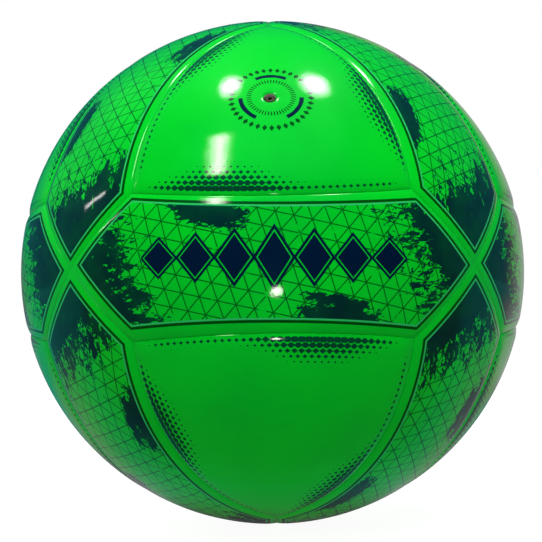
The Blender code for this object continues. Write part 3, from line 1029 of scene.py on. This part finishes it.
# A lamp: where on the ball the camera sees it mirrored (azimuth and elevation, the highlight's width and
# height and how far it leans clockwise, in degrees), how far off it is, and how bright its middle looks in
# the gloss.
Lamp = namedtuple("Lamp", "name shape azimuth elevation width height lean distance glow colour")
WHITE, CREAM = (1.0, 1.0, 1.0), (1.0, 0.99, 0.88)
LAMPS = (
    Lamp("round_left", "ELLIPSE", -10.1, 38.6, 6.3, 8.6, 0, 1.0, 1.2, WHITE),
    Lamp("round_right", "ELLIPSE", 11.6, 38.8, 8.6, 9.5, 0, 1.0, 1.15, WHITE),
    Lamp("softbox", "RECTANGLE", -10.8, 21.6, 7.8, 11.0, 0, 1.0, 0.86, CREAM),
    Lamp("flash", "ELLIPSE", 0.7, -5.2, 3.6, 3.2, 0, 0.38, 1.5, CREAM),
    Lamp("side_strip", "RECTANGLE", -38.8, 13.8, 1.6, 7.2, 57, 1.0, 0.45, WHITE),
)
GLOSS = 0.04  # the share of a lamp's light that the film mirrors
LAMP_END = 0.72  # where a long lamp starts to fade, as a share of the way to its end
# A diffused light, which isn't seen in the gloss: the way it comes from, how far off and how wide it is, and
# how bright it would make a white card facing it.
Diffused = namedtuple("Diffused", "name way distance size share")
DIFFUSED = (
    Diffused("wide_fill", (0.08, -0.52, 0.85), 1.3, 1.1, 0.78),
    Diffused("back_light", (-0.40, 0.50, 0.77), 1.3, 0.9, 0.42),
    Diffused("left_light", (-0.75, 0.55, 0.38), 1.3, 0.9, 0.35),
)


def spot(azimuth, elevation):
    """The point of the unit ball at this azimuth from its front and this elevation."""
    a, e = math.radians(azimuth), math.radians(elevation)
    return Vector((math.sin(a) * math.cos(e), -math.cos(a) * math.cos(e), math.sin(e)))


def mirrored_way(azimuth, elevation):
    """The direction that the ball mirrors to the camera at a spot."""
    n = spot(azimuth, elevation)
    view = (bpy.context.scene.camera.location / BALL_R - n).normalized()
    return n * (2 * n.dot(view)) - view


def across_spot(lamp, length, lean):
    """How the mirrored way changes from one end of a lamp's highlight to the other."""
    side = length / 2 * math.sin(math.radians(lean)) / math.cos(math.radians(lamp.elevation))
    up = length / 2 * math.cos(math.radians(lean))
    high = mirrored_way(lamp.azimuth + side, lamp.elevation + up)
    return high - mirrored_way(lamp.azimuth - side, lamp.elevation - up)


def area_lamp(name, shape, size, energy, matrix):
    """An area lamp that the camera doesn't see."""
    data = bpy.data.lights.new(name, "AREA")
    data.shape = shape
    data.size, data.size_y = size
    data.energy = energy
    made = new_object(name, data)
    made.matrix_world = matrix
    made.visible_camera = False
    return made


def fade(light, colour):
    """Gives a lamp its colour, and lets it fade from its middle: a round one evenly, a long one to its sides
    and a little at its ends."""
    light.use_nodes = True
    tree = light.node_tree
    across, along, _ = parts(Term(add(tree, "NewGeometry").outputs["Parametric"]))
    x, y = size_of(across * 2 - 1), size_of(along * 2 - 1)
    if light.shape == "ELLIPSE":
        bright = ramp(maths("SQRT", x * x + y * y), 1.0, 0.0)
    else:
        sides = ramp(x, 1.0, 0.0)
        bright = sides * sides * ramp(y, 1.0, LAMP_END)
    emission = tree.nodes["Emission"]
    emission.inputs["Color"].default_value = (*colour, 1.0)
    tree.links.new(bright.socket, emission.inputs["Strength"])


def make_lamps():
    """Sets each lamp where the ball mirrors it to the camera, and the diffused lights round the ball."""
    for lamp in LAMPS:
        tall = across_spot(lamp, lamp.height, lamp.lean)
        wide = across_spot(lamp, lamp.width, lamp.lean + 90)
        away = mirrored_way(lamp.azimuth, lamp.elevation)
        up = tall.normalized()
        side = up.cross(away)
        turn = Matrix((side, up, away)).transposed().to_4x4()
        place = spot(lamp.azimuth, lamp.elevation) * BALL_R + away * lamp.distance
        size = abs(wide.dot(side)) * lamp.distance, tall.length * lamp.distance
        face = size[0] * size[1] * (math.pi / 4 if lamp.shape == "ELLIPSE" else 1)
        energy = lamp.glow / GLOSS * math.pi * face
        made = area_lamp(lamp.name, lamp.shape, size, energy, Matrix.Translation(place) @ turn)
        fade(made.data, lamp.colour)
    for light in DIFFUSED:
        away = Vector(light.way).normalized()
        turn = away.to_track_quat("Z", "Y").to_matrix().to_4x4()
        energy = light.share * (math.pi * light.distance) ** 2
        place = Matrix.Translation(away * light.distance) @ turn
        made = area_lamp(light.name, "ELLIPSE", (light.size, light.size), energy, place)
        made.visible_glossy = False


def shown_rays(tree):
    """1 for the camera's rays, and 1 for those in gloss or through glass."""
    path = add(tree, "LightPath")
    camera, *others = (Term(path.outputs[f"Is {kind} Ray"]) for kind in ("Camera", "Glossy", "Transmission"))
    return camera, largest(*others)


def patch(measures, most, **ends):
    """A patch of light, as bright as most where each measure has gone from its first end to its second."""
    for name, (low, high) in ends.items():
        most = ramp(measures[name], low, high) * most
    return most


# The camera sees a white room. The gloss sees a dark one, with a window at the back right, a paler horizon
# and a haze toward the back in red, green and blue. All other rays find a grey. Measures are a way's parts.
DARK_ROOM = 0.01
WINDOW = dict(most=0.4, right=(0.02, 0.16), up=(0.58, 0.34), lean=(0.5, 0.9))
WINDOW_LEAN = 0.35  # how much further back the window lies for its height
HORIZON = dict(most=0.1, up=(0.12, 0.0), back=(0.72, 0.98))
HAZE, HAZE_BACK = (0.0, 0.09, 0.14), (-0.3, 0.3)
ROOM_GREY, MORE_GREY = 0.24, dict(most=0.42, back=(-0.2, 0.9))


def make_world():
    """The room round the ball, as the world's colour."""
    world = bpy.data.worlds.new("studio")
    world.use_nodes = True
    bpy.context.scene.world = world
    tree = world.node_tree
    camera, gloss = shown_rays(tree)
    right, back, up = parts(Term(add(tree, "TexCoord").outputs["Generated"]))
    way = {"right": right, "back": back, "up": up, "lean": back - up * WINDOW_LEAN}
    window = largest(patch(way, **WINDOW), patch(way, **HORIZON))
    grey = patch(way, **MORE_GREY) + ROOM_GREY
    shades = []
    for share in HAZE:
        room = largest(window, patch(way, share, back=HAZE_BACK) + DARK_ROOM)
        shades.append(camera + (1 - camera) * (gloss * room + (1 - gloss) * grey))
    tree.links.new(vector(*shades).socket, tree.nodes["Background"].inputs["Color"])


# The floor glows like the world, though it is no lamp. The camera sees it white, a little less so near the
# ball.
# The gloss sees painted reflections on it: a dark floor with patches of painted light near, under, behind and
# beside the ball, and a painted teal glow near it in green and blue. All other rays find a painted grey glow,
# brighter behind the ball, which lights the ball from below as painted bounce light. Measures are metres from
# the point under the ball's middle, and how much of the way out from there is back.
FLOOR_R = 2.5
SHOWN, MORE_SHOWN = 0.95, dict(most=0.05, off=(0.24, 0.9))
DARK_FLOOR = 0.02
# Painted reflections: glows on the floor that only the gloss sees.
NEAR = dict(most=0.2, clear=(0.03, 0.06), off=(0.34, 0.1), back=(-0.045, 0.03))
FLOOR_PAINTED_TEAL_GLOW = dict(most=0.21, clear=(0.03, 0.06), back=(-0.08, -0.025))
UNDER = dict(most=0.05, off=(0.09, 0.055), back=(-0.06, -0.03))
BEHIND = dict(most=0.08, back=(0.2, 0.7), share=(0.66, 0.84))
BESIDE = dict(most=0.36, right=(0.12, 0.25), turned=(0.2, 0.62))
BESIDE_TURN = dict(most=0.29, off=(0.3, 1.5))  # how much further back it lies at a distance
# Painted bounce light: the floor's grey glow for all other rays, brighter behind the ball.
FLOOR_PAINTED_BOUNCE, MORE_FLOOR_PAINTED_BOUNCE = 0.22, dict(most=0.45, back=(-0.16, 0.08))
CARD = 0.16  # how much of the lamps' light it sends back


def make_floor():
    """A white table top under the ball, which keeps its shadow and is clear from below. It glows with painted
    reflections for the gloss and a painted bounce glow for all other rays.
    """
    bm = bmesh.new()
    bmesh.ops.create_circle(bm, cap_ends=True, segments=96, radius=FLOOR_R)
    floor = new_object("floor", finished(bm, "floor"))
    floor.location.z = CAD_BOX[0].z
    made = bpy.data.materials.new("white_table")
    made.use_nodes = True
    floor.data.materials.append(made)
    tree = made.node_tree
    tree.nodes.remove(tree.nodes["Principled BSDF"])
    camera, gloss = shown_rays(tree)
    right, back, _ = parts(where(tree))
    off = maths("SQRT", right * right + back * back)
    at = {"right": right, "back": back, "off": off, "clear": off, "share": back / off}
    at["turned"] = at["share"] - patch(at, **BESIDE_TURN)
    # Painted reflections: windows beside and behind the ball and a faint glow under it, glowing in the floor.
    window = largest(patch(at, **BEHIND), patch(at, **BESIDE))
    dark = patch(at, **UNDER) + DARK_FLOOR
    shown = patch(at, **MORE_SHOWN) + SHOWN
    # Painted bounce light that lights the ball from below.
    grey = patch(at, **MORE_FLOOR_PAINTED_BOUNCE) + FLOOR_PAINTED_BOUNCE
    # The gloss sees painted reflections: the near glow in red, the teal glow in green and blue.
    red, green = (
        camera * shown + (1 - camera) * (gloss * (dark + mirrored) + (1 - gloss) * grey)
        for mirrored in (patch(at, **NEAR) + window, largest(patch(at, **FLOOR_PAINTED_TEAL_GLOW), window))
    )
    card = (1 - gloss) * CARD
    glow = add(tree, "Emission", {"Color": vector(red, green, green)})
    sent_back = add(tree, "BsdfDiffuse", {"Color": vector(card, card, card)})
    lit, clear = add(tree, "AddShader"), add(tree, "BsdfTransparent")
    faced = add(tree, "MixShader", {"Fac": Term(add(tree, "NewGeometry").outputs["Backfacing"])})
    output = tree.nodes["Material Output"]
    links = (glow, lit, 0), (sent_back, lit, 1), (lit, faced, 1), (clear, faced, 2), (faced, output, 0)
    for source, node, i in links:
        tree.links.new(source.outputs[0], node.inputs[i])


make_camera()
make_ball()
make_lamps()
make_world()
make_floor()
bpy.context.scene.view_settings.view_transform = "Standard"
